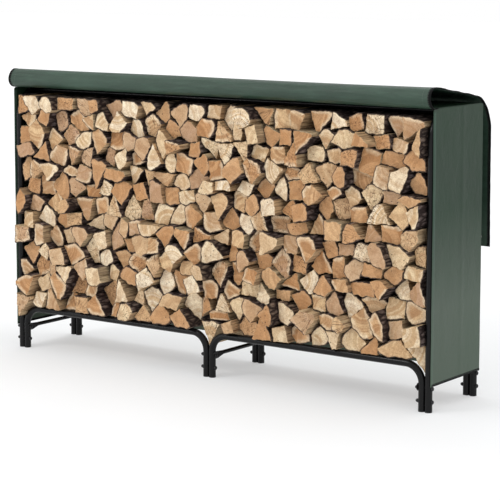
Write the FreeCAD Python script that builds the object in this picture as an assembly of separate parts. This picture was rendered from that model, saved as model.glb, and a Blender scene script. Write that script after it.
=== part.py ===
import FreeCAD, Part
import math
import os
import random

# Firewood log rack: bent-tube base and end frames, a coated fabric cover with its front curtain
# thrown back over the top, and the load of split logs that it carries.
# Frame: millimetres, +X along the rack, -Y to the open front, +Z up, origin on the floor below
# the centre of the whole object.

# ---- rack: overall sizes, over the outsides of the tubes
rack_length = 2050.0
rack_depth = 360.0
frame_height = 1118.0

# ---- rack: tubes
tube_od = 28.0
tube_wall = 1.4
rail_top_z = 188.0
rail_bend_radius = 70.0        # to the tube's centre line
frame_bend_radius = 105.0      # to the tube's centre line
leg_gap = 0.2                  # between the two tubes of a foot

# ---- plastic caps under the legs
cap_thickness = 3.0
cap_plug_depth = 14.0
cap_clearance = 0.1
cap_chamfer = 0.8

# ---- leg bolts, washers and cap nuts
bolt_d = 8.0
bolt_clearance = 0.3           # radial, in the tubes' holes
lower_bolt_z = 39.5
upper_bolt_z = 89.5
head_d = 16.0
head_rim = 1.2
head_height = 5.2
washer_d = 16.0
washer_thickness = 1.5
nut_flats = 12.0
nut_height = 6.5
nut_total = 10.5
nut_thread_depth = 8.0
thread_gap = 0.05              # radial, bolt to nut

# ---- crossbars between the front and rear feet
crossbar_d = 16.0
crossbar_z = 98.0
crossbar_tab = 3.0             # thickness of the flattened ends
crossbar_tab_width = 24.0
crossbar_flare = 26.0          # length over which the bar turns into its flat end

# ---- top rails under the cover
top_rail_od = 22.0
top_rail_wall = 1.2
top_rail_y = 61.0
spigot_od = 19.4
spigot_wall = 1.5
spigot_length = 45.0
top_rail_end_gap = 2.0
sleeve_length = 130.0
screw_d = 4.0
screw_hole_clearance = 0.1
screw_head_d = 8.0
screw_head_height = 2.6
screw_tip = 6.0                # how far a screw's end stands inside the rail
screw_inset = 22.0             # from the rail's end to the screw

# ---- cover
cloth = 2.5                    # thickness of the coated fabric with its lining
cover_gap = 0.4                # fabric to tube
cover_bottom_z = 98.5
cover_corner_radius = 12.0     # of the sheet over the rear top edge, at mid thickness
cover_seam_y = -150.0          # where the top panel ends and the curtain begins
seam_gap = 0.5
tape = 0.8                     # thickness of the black binding tape
tape_width = 12.0

# ---- front curtain: a roll at the front edge, a slope to the rear and a hanging flap
curtain_overhang = 1.5         # past the side panels, each end
roll_radius = 39.0             # outside
roll_proud = 30.0              # in front of the front tubes
curtain_slope = 8.5            # degrees, down to the rear
rear_bend_radius = 140.0
flap_standoff = 63.0           # from the rear tubes' plane to the flap's outer face
flap_bottom_z = 567.0
flap_hinge_gap = 2.4
eyelet_d = 24.0
eyelet_hole_d = 11.0
eyelet_wall = 1.5
eyelet_side_inset = 47.0
eyelet_rise = 36.0

# ---- firewood
log_rows = 14
log_top_z = 1088.0
log_side_clearance = 3.0       # to the inner faces of the end frames
log_rail_clearance = 0.6
log_gap = 2.4                  # between neighbouring logs
log_pitch_x = 83.0             # one log's share of the bay
log_pitch_z = 68.0
heart_drift = 0.22             # of a pitch, at random
size_spread = 0.16             # how far the logs' shares differ in size
log_lean = 20.0                # degrees, how far a log is turned from square
log_growth = 45.0              # most that a shape two units wide grows by, in its own share
settling_rounds = 3
log_swell = 1.2                # how far a settled log swells into the room left beside it
shortest_side = 4.0            # of a log outline
heart_clearance = 14.0         # from a loose log's heart to a wedge log
most_stretch = 1.3
stretch_per_step = 0.012       # stretch tried with each mm of movement
log_setback = 80.0             # how far the front ends vary
log_rear_clearance = 4.0       # to the rear panel
log_rear_variation = 24.0
notch_half_angle = 29.0        # degrees, of the wedge log in the middle notch
end_notch_angle = 41.0         # degrees, of the wedge logs in the end notches
notch_log_height = 92.0
min_log_area = 1100.0
min_log_width = 26.0
log_seed = 11

# ---- worked-out sizes
tube_r = tube_od / 2
frame_x = rack_length / 2 - tube_r
tube_y = rack_depth / 2 - tube_r
rail_outer_x = frame_x - tube_od - leg_gap
rail_inner_x = tube_r + leg_gap / 2
pair_half = tube_od + leg_gap / 2
pair_x = frame_x - tube_r - leg_gap / 2
rail_z = rail_top_z - tube_r
top_tube_z = frame_height - tube_r
side_panel_x = frame_x + tube_r + cover_gap
cover_half_width = side_panel_x + cloth
curtain_half_width = cover_half_width + curtain_overhang
flap_outer_y = rack_depth / 2 + flap_standoff
log_reach = flap_outer_y + tape
cover_inner_y = rack_depth / 2 + cover_gap
cover_inner_z = frame_height + cover_gap
sheet_top_z = cover_inner_z + cloth / 2

# Foot name, centre of its tube pair, and the side that its crossbar is bolted to.
feet = [("left", -pair_x, 1), ("middle", 0.0, 1), ("right", pair_x, -1)]

V = FreeCAD.Vector
X_AXIS, Y_AXIS, Z_AXIS = V(1, 0, 0), V(0, 1, 0), V(0, 0, 1)


def export(node, shape):
    shape.exportStep("parts/%s.step" % node)


def group(shapes):
    """Several separate solids that share one node."""
    return Part.makeCompound(shapes)


def cylinder(base, axis, radius, length):
    return Part.makeCylinder(radius, length, base, axis)


def line(a, b):
    return Part.LineSegment(a, b).toShape()


def arc(a, middle, b):
    return Part.Arc(a, middle, b).toShape()


def revolved_x(outline, x, y, z, side):
    """Solid of revolution about an X line; outline gives (distance along side*X, radius)."""
    points = [V(x + side * along, y, z + radius) for along, radius in outline]
    face = Part.Face(Part.makePolygon(points + points[:1]))
    return face.revolve(V(x, y, z), X_AXIS, 360)


# ------------------------------------------------------------------ tubes

def hoop_path(place, half_span, height, bend, foot):
    """Centre line of an upside-down U: two legs, two bends and a straight top."""
    inset = bend * (1 - math.cos(math.radians(45)))
    edges = [line(place(-half_span, foot), place(-half_span, height - bend))]
    edges.append(arc(place(-half_span, height - bend), place(-half_span + inset, height - inset),
                     place(-half_span + bend, height)))
    edges.append(line(place(-half_span + bend, height), place(half_span - bend, height)))
    edges.append(arc(place(half_span - bend, height), place(half_span - inset, height - inset),
                     place(half_span, height - bend)))
    edges.append(line(place(half_span, height - bend), place(half_span, foot)))
    return Part.Wire(edges)


def swept_rod(path, start, radius):
    """Solid round bar along a path that leaves its start straight up."""
    section = Part.Wire(Part.Circle(start, Z_AXIS, radius).toShape())
    return path.makePipeShell([section], True, False)


def hoop_tube(place, half_span, height, bend):
    path = hoop_path(place, half_span, height, bend, cap_thickness)
    start = place(-half_span, cap_thickness)
    outside = swept_rod(path, start, tube_r)
    return outside.cut(swept_rod(path, start, tube_r - tube_wall))


def bolt_holes():
    """Two cross holes through the tube pair of every foot."""
    radius = bolt_d / 2 + bolt_clearance
    reach = pair_half + 1.0
    return [cylinder(V(x - reach, y, z), X_AXIS, radius, 2 * reach)
            for _, x, _ in feet for y in (-tube_y, tube_y) for z in (lower_bolt_z, upper_bolt_z)]


def make_base_rails():
    centre = (rail_inner_x + rail_outer_x) / 2
    half_span = (rail_outer_x - rail_inner_x) / 2
    for row, y in (("front", -tube_y), ("rear", tube_y)):
        for side, sign in (("left", -1), ("right", 1)):
            rail = hoop_tube(lambda u, z: V(sign * centre + u, y, z), half_span, rail_z, rail_bend_radius)
            export("base_rail_%s_%s" % (row, side), rail.cut(bolt_holes()))


def end_frame(sign):
    return hoop_tube(lambda u, z: V(sign * frame_x, u, z), tube_y, top_tube_z, frame_bend_radius)


def make_end_frames():
    for side, sign in (("left", -1), ("right", 1)):
        export("end_frame_%s" % side, end_frame(sign).cut(bolt_holes()))


def leg_cap(x, y):
    flange = cylinder(V(x, y, 0), Z_AXIS, tube_r, cap_thickness)
    flange = flange.makeChamfer(cap_chamfer, [edge for edge in flange.Edges if edge.CenterOfMass.z < 0.01
                                              and len(edge.Vertexes) == 1])
    plug_r = tube_r - tube_wall - cap_clearance
    return flange.fuse(cylinder(V(x, y, 0.5 * cap_thickness), Z_AXIS, plug_r, cap_plug_depth))


def make_leg_caps():
    leg_xs = [sign * x for sign in (-1, 1) for x in (rail_inner_x, rail_outer_x, frame_x)]
    for row, y in (("front", -tube_y), ("rear", tube_y)):
        export("leg_caps_%s" % row, group([leg_cap(x, y) for x in leg_xs]))


# ------------------------------------------------------------------ crossbars and leg fasteners

def crossbar_end(x, sign, side):
    """Flat tab with its bolt hole, and the flare that joins it to the round bar."""
    inner = x + side * pair_half
    low_x = min(inner, inner + side * crossbar_tab)
    bar_x = inner + side * crossbar_d / 2
    half = crossbar_tab_width / 2
    start = sign * (tube_y + half)
    stop = sign * (tube_y - tube_r)
    bottom = upper_bolt_z - half
    top = crossbar_z + crossbar_d / 2
    tab = Part.makeBox(crossbar_tab, abs(start - stop), top - bottom, V(low_x, min(start, stop), bottom))
    corners = [edge for edge in tab.Edges
               if abs(edge.CenterOfMass.y - start) < 0.01 and edge.Length < crossbar_tab + 0.01]
    tab = tab.makeFillet(half * 0.8, corners)
    flat = [V(low_x, stop, bottom), V(low_x + crossbar_tab, stop, bottom),
            V(low_x + crossbar_tab, stop, top), V(low_x, stop, top)]
    round_end = stop - sign * crossbar_flare
    quarter = [V(bar_x + crossbar_d / 2 * math.cos(math.radians(a)), round_end,
                 crossbar_z + crossbar_d / 2 * math.sin(math.radians(a))) for a in range(-135, 226, 45)]
    circle = Part.Wire([arc(*quarter[i:i + 3]) for i in (0, 2, 4, 6)])
    flare = Part.makeLoft([Part.makePolygon(flat + flat[:1]), circle], True)
    hole = cylinder(V(low_x - 1, sign * tube_y, upper_bolt_z), X_AXIS,
                    bolt_d / 2 + bolt_clearance, crossbar_tab + 2)
    return tab.fuse(flare).cut(hole)


def make_crossbars():
    for name, x, side in feet:
        bar_x = x + side * (pair_half + crossbar_d / 2)
        reach = tube_y - tube_r - crossbar_flare
        bar = cylinder(V(bar_x, -reach, crossbar_z), Y_AXIS, crossbar_d / 2, 2 * reach)
        ends = [crossbar_end(x, sign, side) for sign in (-1, 1)]
        export("crossbar_%s" % name, bar.fuse(ends))


def bolt(head_x, y, z, length):
    """Round-headed bolt whose head sits on the +X side and whose end reaches -length."""
    dome = [(head_rim + (head_height - head_rim) * math.sin(math.radians(a)),
             head_d / 2 * math.cos(math.radians(a))) for a in (0, 20, 40, 60, 75)]
    outline = [(-length, 0), (-length, bolt_d / 2), (0, bolt_d / 2), (0, head_d / 2)]
    return revolved_x(outline + dome + [(head_height, 0)], head_x, y, z, 1)


def washer(x, y, z, side):
    ring = [(0, bolt_d / 2 + bolt_clearance), (0, washer_d / 2), (washer_thickness, washer_d / 2),
            (washer_thickness, bolt_d / 2 + bolt_clearance)]
    return revolved_x(ring, x, y, z, side)


def cap_nut(x, y, z):
    """Hexagonal nut with a closed dome, its open face on the +X side."""
    corner = nut_flats / math.sqrt(3)
    points = [V(x, y + corner * math.cos(math.radians(60 * i)), z + corner * math.sin(math.radians(60 * i)))
              for i in range(7)]
    body = Part.Face(Part.makePolygon(points)).extrude(V(-nut_height, 0, 0))
    rise = nut_total - nut_height
    dome = [(nut_height + rise * math.sin(math.radians(a)), nut_flats / 2 * math.cos(math.radians(a)))
            for a in (0, 20, 40, 60, 75)]
    cap = revolved_x([(nut_height - 1, 0), (nut_height - 1, nut_flats / 2)] + dome + [(nut_total, 0)],
                     x, y, z, -1)
    thread = cylinder(V(x + 1, y, z), V(-1, 0, 0), bolt_d / 2 + thread_gap, nut_thread_depth + 1)
    return body.fuse(cap).cut(thread)


def make_leg_fasteners():
    bolts, washers, nuts = [], [], []
    for _, x, side in feet:
        for y in (-tube_y, tube_y):
            for z in (lower_bolt_z, upper_bolt_z):
                tab = crossbar_tab if z == upper_bolt_z else 0.0
                head_face = x + pair_half + (tab if side > 0 else 0.0)
                nut_face = x - pair_half - (tab if side < 0 else 0.0)
                head_x = head_face + washer_thickness
                nut_x = nut_face - washer_thickness
                bolts.append(bolt(head_x, y, z, head_x - nut_x + nut_thread_depth - 0.5))
                washers.append(washer(head_face, y, z, 1))
                washers.append(washer(nut_face, y, z, -1))
                nuts.append(cap_nut(nut_x, y, z))
    export("leg_bolts", group(bolts))
    export("leg_washers", group(washers))
    export("leg_cap_nuts", group(nuts))


# ------------------------------------------------------------------ top rails

def rail_screw_places():
    """X of the screws of one rail: one near each end frame and two in the middle sleeve."""
    outer = frame_x - tube_r - top_rail_end_gap - screw_inset
    return [-outer, -screw_inset, screw_inset, outer]


def screw_holes():
    radius = screw_d / 2 + screw_hole_clearance
    return [cylinder(V(x, y, top_tube_z - top_rail_od), Z_AXIS, radius, top_rail_od)
            for x in rail_screw_places() for y in (-top_rail_y, top_rail_y)]


def pipe_x(x0, x1, y, z, outer_d, wall):
    outside = cylinder(V(x0, y, z), X_AXIS, outer_d / 2, x1 - x0)
    return outside.cut(cylinder(V(x0 - 1, y, z), X_AXIS, outer_d / 2 - wall, x1 - x0 + 2))


def make_top_rails():
    end = frame_x - tube_r - top_rail_end_gap
    half_gap = seam_gap / 2
    for row, y in (("front", -top_rail_y), ("rear", top_rail_y)):
        for side, x0, x1 in (("left", -end, -half_gap), ("right", half_gap, end)):
            rail = pipe_x(x0, x1, y, top_tube_z, top_rail_od, top_rail_wall)
            export("top_rail_%s_%s" % (row, side), rail.cut(screw_holes()))


def make_rail_sleeves():
    sleeves = [pipe_x(-sleeve_length / 2, sleeve_length / 2, y, top_tube_z, spigot_od, spigot_wall)
               for y in (-top_rail_y, top_rail_y)]
    export("top_rail_sleeves", group([sleeve.cut(screw_holes()) for sleeve in sleeves]))


def make_spigots():
    """Short tubes welded to the end frames, which the top rails push on to."""
    for side, sign in (("left", -1), ("right", 1)):
        top_tube = cylinder(V(sign * frame_x, -tube_y, top_tube_z), Y_AXIS, tube_r, 2 * tube_y)
        inner = sign * (frame_x - tube_r - spigot_length)
        ends = sorted((inner, sign * frame_x))
        spigots = [pipe_x(ends[0], ends[1], y, top_tube_z, spigot_od, spigot_wall).cut(top_tube)
                   for y in (-top_rail_y, top_rail_y)]
        export("rail_spigots_%s" % side, group([spigot.cut(screw_holes()) for spigot in spigots]))


def rail_screw(x, y):
    """Self-tapping screw, driven up from below, its head under the rail."""
    face = top_tube_z - top_rail_od / 2
    head = cylinder(V(x, y, face - screw_head_height), Z_AXIS, screw_head_d / 2, screw_head_height)
    rim = [edge for edge in head.Edges
           if edge.CenterOfMass.z < face - screw_head_height + 0.01 and len(edge.Vertexes) == 1]
    head = head.makeFillet(screw_head_height * 0.45, rim)
    return head.fuse(cylinder(V(x, y, face - 0.5), Z_AXIS, screw_d / 2, screw_tip + 0.5))


def make_rail_screws():
    screws = [rail_screw(x, y) for y in (-top_rail_y, top_rail_y) for x in rail_screw_places()]
    export("top_rail_screws", group(screws))


# ------------------------------------------------------------------ fabric

class SheetPath:
    """Line in the YZ plane that a sheet follows: straight runs and round bends, one after another.

    The heading is in degrees from +Y towards +Z; a positive turn is towards the left."""

    def __init__(self, y, z, heading):
        self.y, self.z, self.heading = y, z, heading
        self.spans = []

    def run(self, length):
        start = (self.y, self.z)
        angle = math.radians(self.heading)
        self.y += length * math.cos(angle)
        self.z += length * math.sin(angle)
        self.spans.append(("run", start, (self.y, self.z), self.heading))
        return self

    def bend(self, radius, turn):
        side = 1 if turn > 0 else -1
        angle = math.radians(self.heading)
        centre = (self.y - side * radius * math.sin(angle), self.z + side * radius * math.cos(angle))
        self.spans.append(("bend", centre, radius, self.heading, turn))
        self.heading += turn
        angle = math.radians(self.heading)
        self.y = centre[0] + side * radius * math.sin(angle)
        self.z = centre[1] - side * radius * math.cos(angle)
        return self

    def edge(self, span, offset, x):
        """One span as an edge, shifted to the left of the path by offset."""
        if span[0] == "run":
            _, a, b, heading = span
            shift = (-offset * math.sin(math.radians(heading)), offset * math.cos(math.radians(heading)))
            return line(V(x, a[0] + shift[0], a[1] + shift[1]), V(x, b[0] + shift[0], b[1] + shift[1]))
        _, centre, radius, heading, turn = span
        side = 1 if turn > 0 else -1
        reach = side * radius - offset
        points = []
        for part in (0.0, 0.5, 1.0):
            angle = math.radians(heading + part * turn)
            points.append(V(x, centre[0] + reach * math.sin(angle), centre[1] - reach * math.cos(angle)))
        return arc(*points)

    def solid(self, x0, x1, thickness):
        """The sheet, from x0 to x1."""
        left = [self.edge(span, thickness / 2, x0) for span in self.spans]
        right = [self.edge(span, -thickness / 2, x0) for span in self.spans]
        start = line(left[0].firstVertex(True).Point, right[0].firstVertex(True).Point)
        stop = line(left[-1].lastVertex(True).Point, right[-1].lastVertex(True).Point)
        outline = Part.Wire(Part.__sortEdges__(left + [stop] + right + [start]))
        return Part.Face(outline).extrude(V(x1 - x0, 0, 0))


def cover_top_path():
    bend_start_y = cover_inner_y + cloth / 2 - cover_corner_radius
    return SheetPath(cover_seam_y, sheet_top_z, 0).run(bend_start_y - seam_gap - cover_seam_y)


def cover_back_path():
    bend_start_y = cover_inner_y + cloth / 2 - cover_corner_radius
    path = SheetPath(bend_start_y, sheet_top_z, 0).bend(cover_corner_radius, -90)
    return path.run(path.z - cover_bottom_z)


def curtain_path():
    """On from the top panel, round the roll, back along the slope and into half the rear bend."""
    start_y = cover_seam_y - seam_gap
    roll_y = -rack_depth / 2 - roll_proud + roll_radius
    path = SheetPath(start_y, sheet_top_z, 180)
    path.run(start_y - roll_y).bend(roll_radius - cloth / 2, -180 - curtain_slope)
    slope = math.radians(curtain_slope)
    bend_start_y = flap_outer_y - cloth / 2 - rear_bend_radius * (1 - math.sin(slope))
    path.run((bend_start_y - path.y) / math.cos(slope))
    gap_turn = math.degrees(flap_hinge_gap / rear_bend_radius)
    return path.bend(rear_bend_radius, -(90 - curtain_slope) / 2 + gap_turn)


def flap_path():
    """The second half of the rear bend and the hanging part; it starts at its fold line."""
    whole = curtain_path()
    whole.bend(rear_bend_radius, -math.degrees(flap_hinge_gap / rear_bend_radius))
    path = SheetPath(whole.y, whole.z, whole.heading)
    path.bend(rear_bend_radius, -90 - whole.heading)
    return path.run(path.z - flap_bottom_z)


def side_panel(sign):
    low_x = min(sign * side_panel_x, sign * cover_half_width)
    height = cover_inner_z - cover_bottom_z
    panel = Part.makeBox(cloth, 2 * cover_inner_y, height, V(low_x, -cover_inner_y, cover_bottom_z))
    top_corners = [edge for edge in panel.Edges
                   if edge.Length < cloth + 0.01 and edge.CenterOfMass.z > cover_inner_z - 1]
    return panel.makeFillet(cover_corner_radius - cloth / 2, top_corners)


def make_side_panels():
    for side, sign in (("left", -1), ("right", 1)):
        export("cover_side_%s" % side, side_panel(sign))


def make_cover_sheets():
    export("cover_top", cover_top_path().solid(-cover_half_width, cover_half_width, cloth))
    export("cover_back", cover_back_path().solid(-cover_half_width, cover_half_width, cloth))
    export("curtain", curtain_path().solid(-curtain_half_width, curtain_half_width, cloth))


def eyelet_places():
    x = curtain_half_width - eyelet_side_inset
    return [(-x, flap_bottom_z + eyelet_rise), (x, flap_bottom_z + eyelet_rise)]


def make_flap():
    flap = flap_path().solid(-curtain_half_width, curtain_half_width, cloth)
    hole_r = eyelet_hole_d / 2 + eyelet_wall
    holes = [cylinder(V(x, flap_outer_y - cloth - 1, z), Y_AXIS, hole_r, cloth + 2)
             for x, z in eyelet_places()]
    export("curtain_flap", flap.cut(holes))


def make_eyelets():
    """Metal rings: a barrel through the cloth and a flat flange on each side."""
    eyelets = []
    inner_y = flap_outer_y - cloth - tape
    for x, z in eyelet_places():
        ring = cylinder(V(x, inner_y, z), Y_AXIS, eyelet_hole_d / 2 + eyelet_wall, cloth + 2 * tape)
        for y in (inner_y, flap_outer_y):
            ring = ring.fuse(cylinder(V(x, y, z), Y_AXIS, eyelet_d / 2, tape))
        bore = cylinder(V(x, inner_y - 1, z), Y_AXIS, eyelet_hole_d / 2, cloth + 2 * tape + 2)
        eyelets.append(ring.cut(bore).removeSplitter())
    export("flap_eyelets", group(eyelets))


def make_bindings():
    """Black tape folded over the side edges of the curtain and of its flap, clear of the side panels."""
    for name, path in (("curtain_binding", curtain_path()), ("flap_binding", flap_path())):
        for side, sign in (("left", -1), ("right", 1)):
            x0, x1 = sorted((sign * (curtain_half_width - tape_width), sign * (curtain_half_width + tape)))
            band = path.solid(x0, x1, cloth + 2 * tape)
            sheet = path.solid(-curtain_half_width, curtain_half_width, cloth)
            export("%s_%s" % (name, side), band.cut([sheet, side_panel(sign)]))


# ------------------------------------------------------------------ firewood
# A log is a straight prism along Y. Its outline is worked out in the XZ plane: the bay is shared out
# between scattered hearts, and each log is a convex outline inside its heart's share.

def clip(outline, a, b, c):
    """The part of a convex outline where a*x + b*z <= c."""
    kept = []
    for (x0, z0), (x1, z1) in zip(outline, outline[1:] + outline[:1]):
        d0 = a * x0 + b * z0 - c
        d1 = a * x1 + b * z1 - c
        if d0 <= 0:
            kept.append((x0, z0))
        if d0 * d1 < 0:
            t = d0 / (d0 - d1)
            kept.append((x0 + t * (x1 - x0), z0 + t * (z1 - z0)))
    return kept


def area_and_centre(outline):
    outline = list(outline)
    area = cx = cz = 0.0
    for (x0, z0), (x1, z1) in zip(outline, outline[1:] + outline[:1]):
        cross = x0 * z1 - x1 * z0
        area += cross / 2
        cx += (x0 + x1) * cross / 6
        cz += (z0 + z1) * cross / 6
    return abs(area), cx / area, cz / area


def narrowest(outline):
    """Least width of an outline over all directions of its sides."""
    widths = []
    for a, b, c in sides_of(outline):
        widths.append(max(c - a * x - b * z for x, z in outline))
    return min(widths)


def sides_of(outline):
    """Each side of a convex outline as (a, b, c): outward direction and its distance, a*x + b*z = c."""
    sides = []
    for (x0, z0), (x1, z1) in zip(outline, outline[1:] + outline[:1]):
        length = math.hypot(x1 - x0, z1 - z0)
        if length > 0.5:
            a, b = (z1 - z0) / length, (x0 - x1) / length
            sides.append((a, b, a * x0 + b * z0))
    return sides


def notch_tip(across, half_angle):
    """Height of the tip of a wedge that rests on a rail's bend, across mm from the bend's centre."""
    angle = math.radians(half_angle)
    outer = rail_bend_radius + tube_r + log_rail_clearance
    return rail_z - rail_bend_radius + (outer - across * math.cos(angle)) / math.sin(angle)


def notch_logs():
    """Wedges, point down, in the notch over the middle foot and in those beside the end frames."""
    middle_z = notch_tip(rail_inner_x + rail_bend_radius, notch_half_angle)
    half = notch_log_height * math.tan(math.radians(notch_half_angle))
    top = middle_z + notch_log_height
    logs = [[(0, middle_z), (half, top), (0.3 * half, top + 0.2 * half), (-half, top)]]
    wall = frame_x - tube_r - log_side_clearance
    across = wall - (rail_outer_x - rail_bend_radius)
    end_z = notch_tip(across, end_notch_angle)
    width = notch_log_height * math.tan(math.radians(end_notch_angle))
    top = end_z + notch_log_height
    right = [(wall, end_z), (wall, top + 0.15 * width), (wall - width, top)]
    left = [(-x, z) for x, z in reversed(right)]
    return logs + [left, right]


def outside_side(outline, x, z):
    """The side of a convex outline that faces the point most, and the distance to it."""
    return max((a * x + b * z - c, a, b, c) for a, b, c in sides_of(outline))


def heart_cell(index, hearts, bay, fixed):
    """The share of the bay that is nearer to one heart than to any other, clear of the fixed logs."""
    x, z, weight = hearts[index]
    cell = list(bay)
    for other, (ox, oz, other_weight) in enumerate(hearts):
        if other != index and math.hypot(ox - x, oz - z) < 3 * log_pitch_x:
            length = math.hypot(ox - x, oz - z)
            a, b = (ox - x) / length, (oz - z) / length
            middle = (length + (weight - other_weight) / length) / 2
            cell = clip(cell, a, b, a * x + b * z + middle - log_gap / 2)
    for log in fixed:
        _, a, b, c = outside_side(log, x, z)
        cell = clip(cell, -a, -b, -c - log_gap)
    return cell


def heart_places(bay_half, bay_low, bay_high, draw):
    """Hearts of the logs, in staggered courses, each with a weight that makes its share larger."""
    columns = round(2 * bay_half / log_pitch_x)
    courses = round((bay_high - bay_low) / log_pitch_z)
    pitch_x = 2 * bay_half / columns
    pitch_z = (bay_high - bay_low) / courses
    hearts = []
    for course in range(courses):
        for column in range(columns):
            stagger = 0.25 + 0.5 * (course % 2)
            x = -bay_half + pitch_x * (column + stagger + draw.uniform(-heart_drift, heart_drift))
            z = bay_low + pitch_z * (course + 0.5 + draw.uniform(-heart_drift, heart_drift))
            weight = draw.uniform(-size_spread, size_spread) * log_pitch_x * log_pitch_z
            hearts.append((x, z, weight))
    return hearts


def split_shape(draw):
    """Outline of a split log about its own middle, as long as it is high: split sides and a bark arc."""
    kind = draw.choices(("quarter", "half", "block", "wedge"), (0.34, 0.20, 0.32, 0.14))[0]
    if kind == "block":
        corners = ((-1, -1), (1, -1), (1, 1), (-1, 1))
        outline = [(x * draw.uniform(0.72, 1.0), z * draw.uniform(0.72, 1.0)) for x, z in corners]
        (x0, z0), (x1, z1) = outline[0], outline[3]
        bow = draw.uniform(0.04, 0.16)
        return outline + [(x1 + t * (x0 - x1) - bow, z1 + t * (z0 - z1)) for t in (0.3, 0.7)]
    if kind == "wedge":
        tip = [(-draw.uniform(0.0, 0.4), -1.0), (draw.uniform(0.0, 0.3), -1.0)]
        return [(-draw.uniform(0.5, 0.9), 1.0)] + tip + [(draw.uniform(0.7, 1.0), 0.8)]
    opening = draw.uniform(78, 104) if kind == "quarter" else draw.uniform(140, 172)
    facets = 5 if kind == "quarter" else 7
    heart = [(0.0, 0.0)] if kind == "quarter" else [(-0.25, -0.1), (0.3, -0.12)]
    start = 90 - opening / 2
    bark = []
    for i in range(facets + 1):
        angle = math.radians(start + opening * i / facets)
        bark.append((2 * math.cos(angle), 2 * math.sin(angle)))
    return heart + bark


def turned(outline, degrees):
    """An outline turned about the origin."""
    cos, sin = math.cos(math.radians(degrees)), math.sin(math.radians(degrees))
    return [(x * cos - z * sin, x * sin + z * cos) for x, z in outline]


def room_for(outline, cell_sides, place):
    """How much an outline may grow inside a cell; place is (x, z, stretch along X)."""
    x, z, wide = place
    room = log_growth
    for a, b, c in cell_sides:
        reach = max(a * wide * px + b / wide * pz for px, pz in outline)
        if reach > 0:
            room = min(room, (c - a * x - b * z) / reach)
    return room


def fitted(outline, cell_sides, x, z):
    """The outline grown, moved and slightly stretched to fill its cell, from a first place in it."""
    _, mid_x, mid_z = area_and_centre(outline)
    outline = [(px - mid_x, pz - mid_z) for px, pz in outline]
    place, room = (x, z, 1.0), 0.0
    for step in (8.0, 4.0, 2.0, 1.0):
        stretch = step * stretch_per_step
        moves = ((step, 0, 0), (-step, 0, 0), (0, step, 0), (0, -step, 0), (0, 0, stretch), (0, 0, -stretch))
        better = True
        while better:
            better = False
            for move in moves:
                trial = tuple(p + m for p, m in zip(place, move))
                if 1 / most_stretch < trial[2] < most_stretch:
                    trial_room = room_for(outline, cell_sides, trial)
                    if trial_room > room + 1e-4:
                        place, room, better = trial, trial_room, True
    x, z, wide = place
    return [(x + room * wide * px, z + room / wide * pz) for px, pz in outline]


def split_log(cell, draw):
    """A split log as large as its share of the bay allows, turned the way that fits best."""
    shape = split_shape(draw)
    lean = draw.uniform(-log_lean, log_lean)
    _, x, z = area_and_centre(cell)
    logs = [fitted(turned(shape, lean + quarter), sides_of(cell), x, z) for quarter in (0, 90, 180, 270)]
    return max(logs, key=area_and_centre)


def parting(log, other):
    """The half-plane (a, b, c), a*x + b*z <= c, that best keeps a log clear of another."""
    directions = [(a, b) for a, b, _ in sides_of(log)] + [(-a, -b) for a, b, _ in sides_of(other)]
    options = []
    for a, b in directions:
        limit = min(a * x + b * z for x, z in other)
        options.append((limit - max(a * x + b * z for x, z in log), a, b, limit - log_gap))
    return max(options)[1:]


def room_sides(index, logs, bay):
    """Sides of the room that a log has between its neighbours."""
    _, x, z = area_and_centre(logs[index])
    room = sides_of(bay)
    for i, other in enumerate(logs):
        _, other_x, other_z = area_and_centre(other)
        if i != index and math.hypot(other_x - x, other_z - z) < 3 * log_pitch_x:
            room.append(parting(logs[index], other))
    return room


def swollen(outline, room):
    """The outline swollen about its centre and trimmed to its room."""
    _, x, z = area_and_centre(outline)
    outline = [(x + log_swell * (px - x), z + log_swell * (pz - z)) for px, pz in outline]
    for a, b, c in room:
        outline = clip(outline, a, b, c)
    return [corner for i, corner in enumerate(outline) if math.dist(corner, outline[i - 1]) > shortest_side]


def settled(logs, fixed_count, bay):
    """Lets every log but the fixed ones grow, shift and swell into the room between its neighbours."""
    for _ in range(settling_rounds):
        for i in range(fixed_count, len(logs)):
            _, x, z = area_and_centre(logs[i])
            logs[i] = fitted(logs[i], room_sides(i, logs, bay), x, z)
    for i in range(fixed_count, len(logs)):
        logs[i] = swollen(logs[i], room_sides(i, logs, bay))
    return logs


def log_outlines(draw):
    bay_half = frame_x - tube_r - log_side_clearance
    bay_low = rail_top_z + log_rail_clearance
    bay = [(-bay_half, bay_low), (bay_half, bay_low), (bay_half, log_top_z), (-bay_half, log_top_z)]
    fixed = notch_logs()
    hearts = [heart for heart in heart_places(bay_half, bay_low, log_top_z, draw)
              if all(outside_side(log, heart[0], heart[1])[0] > heart_clearance for log in fixed)]
    outlines = list(fixed)
    for index in range(len(hearts)):
        cell = heart_cell(index, hearts, bay, fixed)
        if len(cell) > 2:
            outlines.append(split_log(cell, draw))
    return [outline for outline in settled(outlines, len(fixed), bay)
            if area_and_centre(outline)[0] > min_log_area and narrowest(outline) > min_log_width]


def log_solid(outline, front_y, rear_y):
    points = [V(x, front_y, z) for x, z in outline]
    return Part.Face(Part.makePolygon(points + points[:1])).extrude(V(0, rear_y - front_y, 0))


def make_firewood():
    draw = random.Random(log_seed)
    rear_limit = cover_inner_y - log_rear_clearance
    rows = [[] for _ in range(log_rows)]
    for outline in log_outlines(draw):
        front_y = -log_reach + math.sqrt(draw.uniform(0.0, 1.0)) * log_setback
        rear_y = rear_limit - draw.uniform(0.0, 1.0) * log_rear_variation
        height = (area_and_centre(outline)[2] - rail_top_z) / (log_top_z - rail_top_z)
        row = min(max(int(height * log_rows), 0), log_rows - 1)
        rows[row].append(log_solid(outline, front_y, rear_y))
    for number, logs in enumerate(rows):
        export("firewood_row_%02d" % (number + 1), group(logs))
    print("logs:", sum(len(logs) for logs in rows))


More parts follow.
